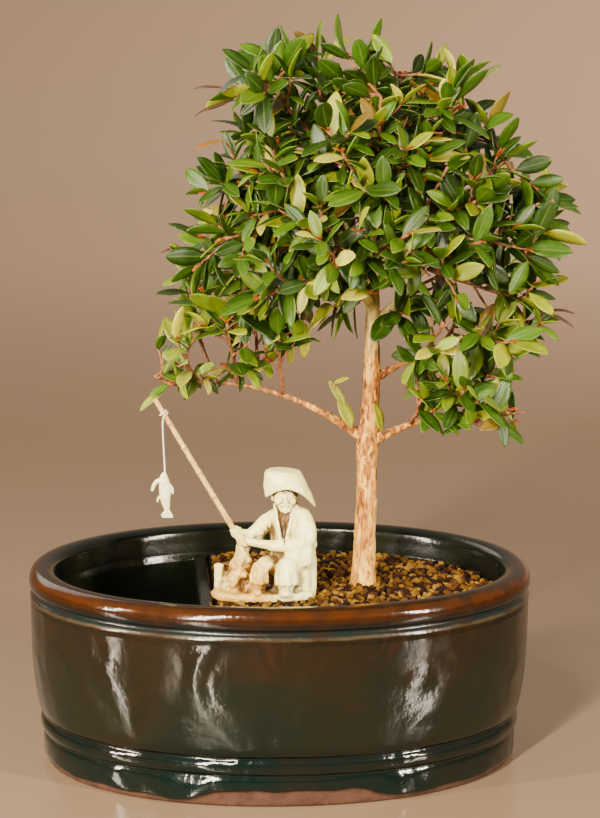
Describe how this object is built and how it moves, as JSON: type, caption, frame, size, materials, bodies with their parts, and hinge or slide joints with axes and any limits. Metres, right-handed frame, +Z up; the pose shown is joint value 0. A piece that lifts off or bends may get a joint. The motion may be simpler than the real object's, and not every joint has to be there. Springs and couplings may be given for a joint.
{
  "type": "brush cherry bonsai",
  "caption": "Small brush cherry tree with a domed crown, in a glazed oval pot with soil, a water basin and a seated clay fisherman holding a cane rod, line and fish.",
  "frame": {"origin": "middle of the pot's flat underside", "axes": "+Z up, the long way of the whole object; X along the pot, with the basin at -X; the figure faces -Y, and Y is the shortest way"},
  "size_m": [0.2139, 0.1518, 0.287],
  "materials": {
    "pot_glaze": "glossy dark green and brown glaze, bare red clay at the foot",
    "soil": "loose fired clay granules, matte",
    "bark": "light tan flaky bark",
    "leaves": "glossy evergreen leaves on red-brown twigs",
    "figure_glaze": "cream glaze",
    "cane": "dry split cane",
    "thread": "twisted pale thread"
  },
  "bodies": {
    "root": {"pot": "pot_glaze", "soil": "soil", "trunk_and_limbs": "bark", "fisherman": "figure_glaze", "rod": "cane", "fishing_line": "thread", "fish": "figure_glaze", "left_spray_1": "leaves", "left_spray_2": "leaves", "left_spray_3": "leaves", "left_spray_4": "leaves", "left_spray_5": "leaves", "left_spray_6": "leaves", "left_spray_7": "leaves", "right_spray_1": "leaves", "right_spray_2": "leaves", "right_spray_3": "leaves", "right_spray_4": "leaves", "right_spray_5": "leaves", "right_spray_6": "leaves", "right_upper_spray_1": "leaves", "right_upper_spray_2": "leaves", "right_upper_spray_3": "leaves", "right_upper_spray_4": "leaves", "crown_spray_1": "leaves", "crown_spray_2": "leaves", "crown_spray_3": "leaves", "crown_spray_4": "leaves", "crown_spray_5": "leaves", "crown_spray_6": "leaves", "crown_spray_7": "leaves", "crown_spray_8": "leaves", "crown_spray_9": "leaves", "crown_spray_10": "leaves", "crown_spray_11": "leaves", "crown_spray_12": "leaves", "crown_spray_13": "leaves", "crown_spray_14": "leaves", "crown_spray_15": "leaves", "crown_spray_16": "leaves", "crown_spray_17": "leaves", "crown_spray_18": "leaves", "crown_spray_19": "leaves", "crown_spray_20": "leaves", "crown_spray_21": "leaves", "crown_spray_22": "leaves", "crown_spray_23": "leaves", "crown_spray_24": "leaves", "crown_spray_25": "leaves", "crown_spray_26": "leaves", "crown_spray_27": "leaves", "crown_spray_28": "leaves", "crown_spray_29": "leaves", "crown_spray_30": "leaves", "crown_spray_31": "leaves", "crown_spray_32": "leaves", "crown_spray_33": "leaves", "crown_spray_34": "leaves", "crown_spray_35": "leaves", "crown_spray_36": "leaves"}
  },
  "joints": []
}
